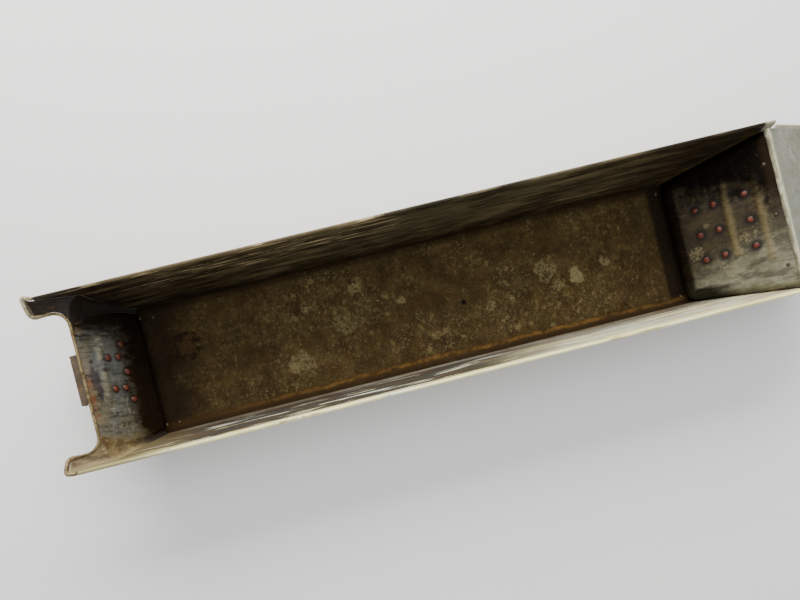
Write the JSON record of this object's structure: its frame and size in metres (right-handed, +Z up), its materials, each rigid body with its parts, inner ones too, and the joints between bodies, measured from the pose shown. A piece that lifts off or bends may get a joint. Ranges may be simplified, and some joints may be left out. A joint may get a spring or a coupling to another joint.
{
  "type": "sluice box",
  "caption": "Open sheet-metal sluice trough with leaning riveted end plates, wired rims, corner ears, hooked hangers and a sloping discharge lip.",
  "frame": {"origin": "middle of the floor's underside, halfway between the two end seams", "axes": "+X along the trough towards the discharge lip, +Y across towards the far side, +Z up out of the trough"},
  "size_m": [1.3067, 0.2867, 0.14],
  "materials": {
    "aged_zinc": "weathered galvanised sheet with brown water stain",
    "pale_zinc": "dull pale galvanised sheet",
    "bright_edge": "rubbed bright edge wire with light rust",
    "rim_wire": "plain steel wire",
    "brown_iron": "brown rusted flat iron",
    "copper": "dull aged copper",
    "tinned": "dull tinned"
  },
  "bodies": {
    "root": {"trough_shell": "aged_zinc", "inlet_end_plate": "aged_zinc", "discharge_end_plate": "aged_zinc", "far_rim_wire": "rim_wire", "near_rim_wire": "rim_wire", "far_ear": "pale_zinc", "near_ear": "pale_zinc", "inlet_edge_wire": "bright_edge", "discharge_crest_wire": "bright_edge", "discharge_lip": "pale_zinc", "discharge_lip_wire": "rim_wire", "inlet_hanger": "brown_iron", "discharge_hanger": "brown_iron", "inlet_rivets": "copper", "discharge_rivets": "copper", "inlet_rivet_burrs": "copper", "discharge_rivet_burrs": "copper", "inlet_small_rivets": "tinned", "discharge_lip_rivets": "tinned", "inlet_seam_tacks": "tinned", "discharge_seam_tacks": "tinned"}
  },
  "joints": []
}
